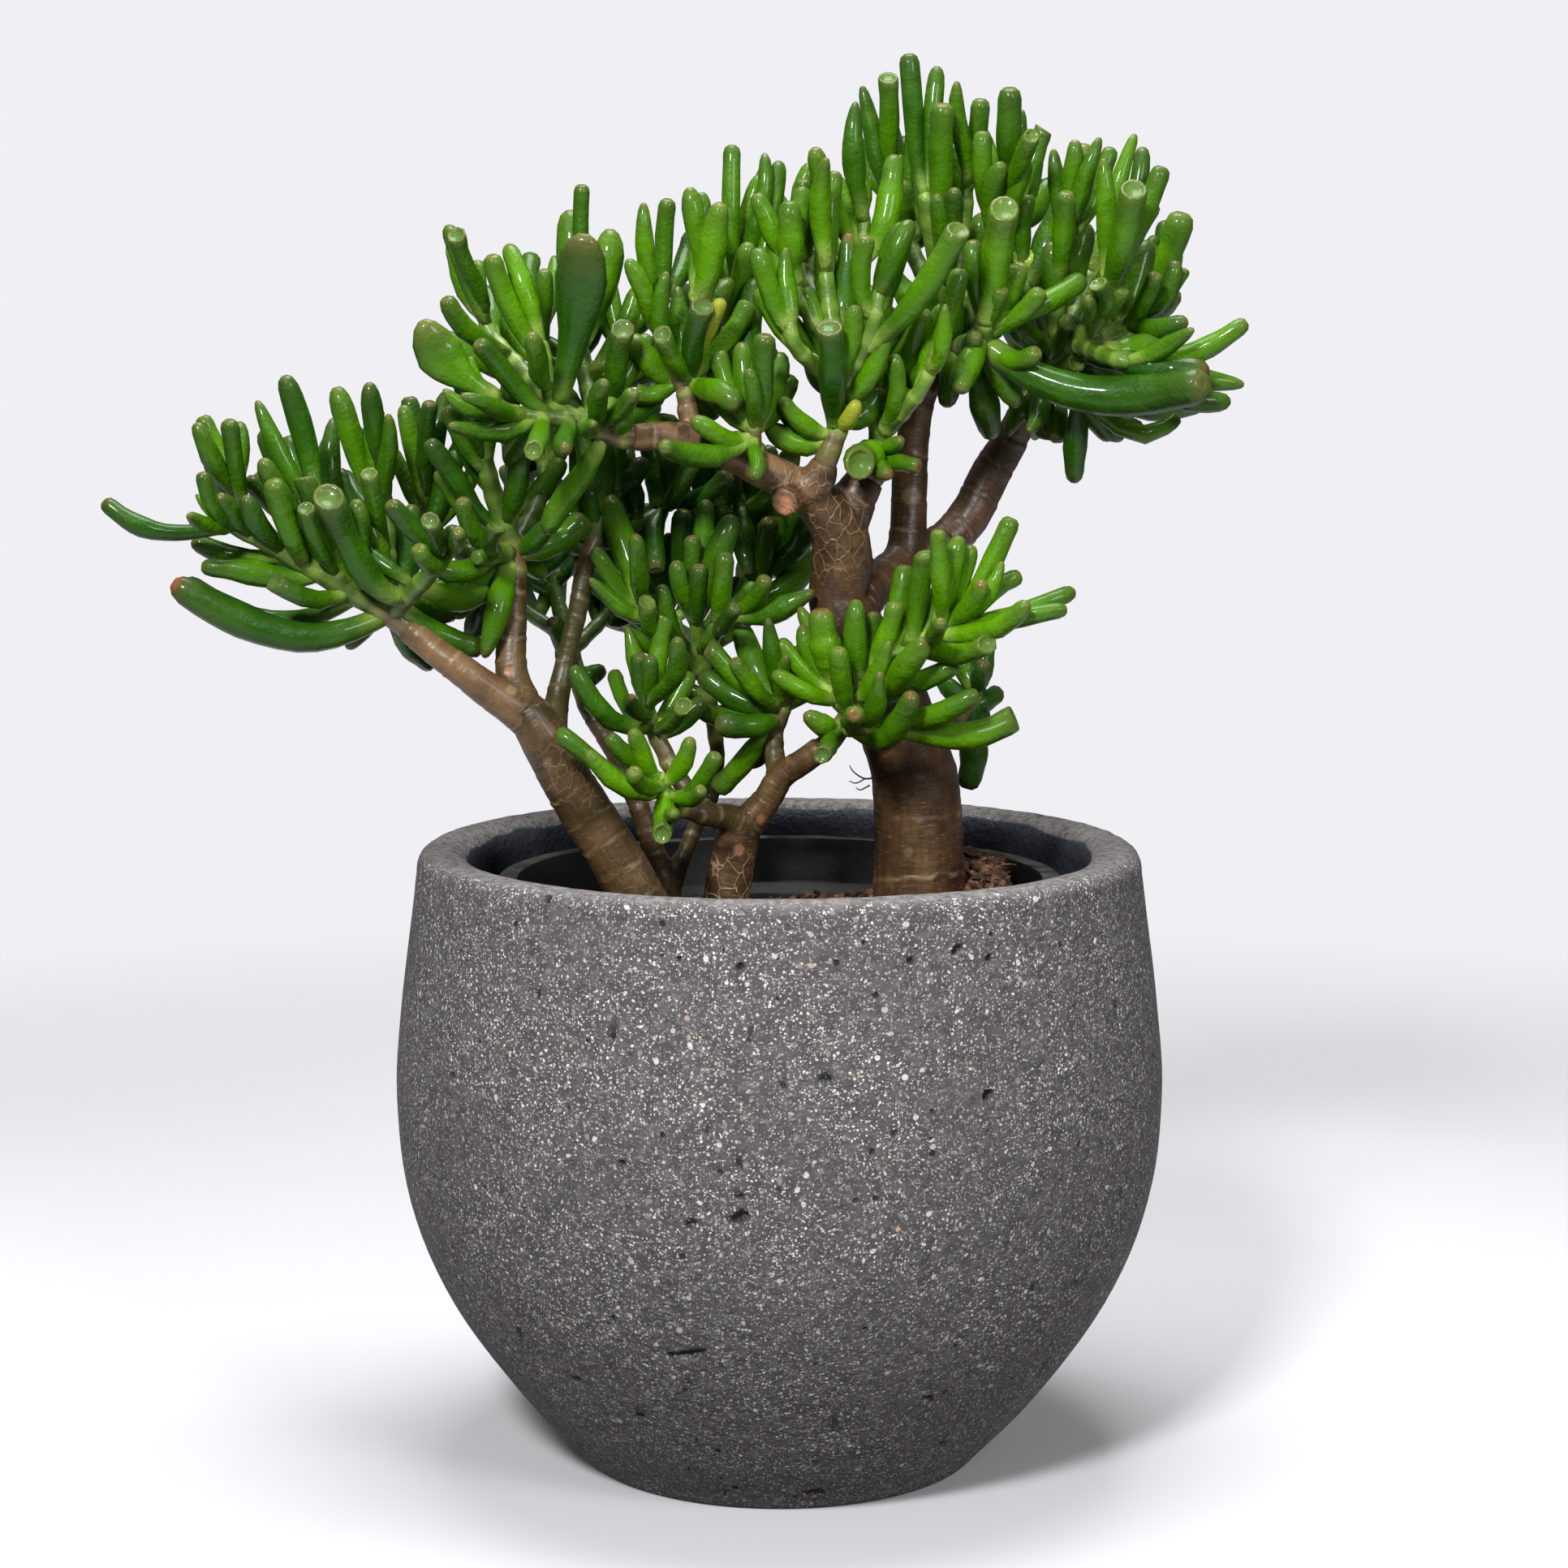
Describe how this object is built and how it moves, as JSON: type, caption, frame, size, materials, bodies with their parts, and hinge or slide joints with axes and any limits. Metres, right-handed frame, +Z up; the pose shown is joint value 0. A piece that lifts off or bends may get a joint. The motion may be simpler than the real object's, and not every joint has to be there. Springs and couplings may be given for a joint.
{
  "type": "potted trumpet jade succulent",
  "caption": "Tree-shaped trumpet jade with tubular finger leaves on knotted stems, in a black nursery pot inside a round dark stone-look planter.",
  "frame": {"origin": "centre of the planter's flat base, on the surface it stands on", "axes": "+Z up, +X to the right of the front view, so -Y is the front"},
  "size_m": [0.49, 0.3408, 0.6228],
  "materials": {
    "stone": "matte",
    "black_plastic": "satin",
    "soil": "matte",
    "bark": "satin",
    "leaf": "gloss"
  },
  "bodies": {
    "root": {"planter": "stone", "nursery_pot": "black_plastic", "potting_mix": "soil", "trunk_main": "bark", "trunk_left": "bark", "trunk_centre": "bark", "trunk_slim": "bark", "foliage_left": "leaf", "foliage_left_inner": "leaf", "foliage_mid_left": "leaf", "foliage_mid": "leaf", "foliage_knot": "leaf", "foliage_crown": "leaf", "foliage_crown_low": "leaf", "foliage_crown_right": "leaf", "foliage_right": "leaf", "foliage_low_front": "leaf", "foliage_low_left": "leaf", "foliage_low_middle": "leaf", "foliage_low_small": "leaf", "foliage_low_right": "leaf", "foliage_low_back": "leaf", "foliage_shade": "leaf", "foliage_back_left": "leaf"}
  },
  "joints": []
}
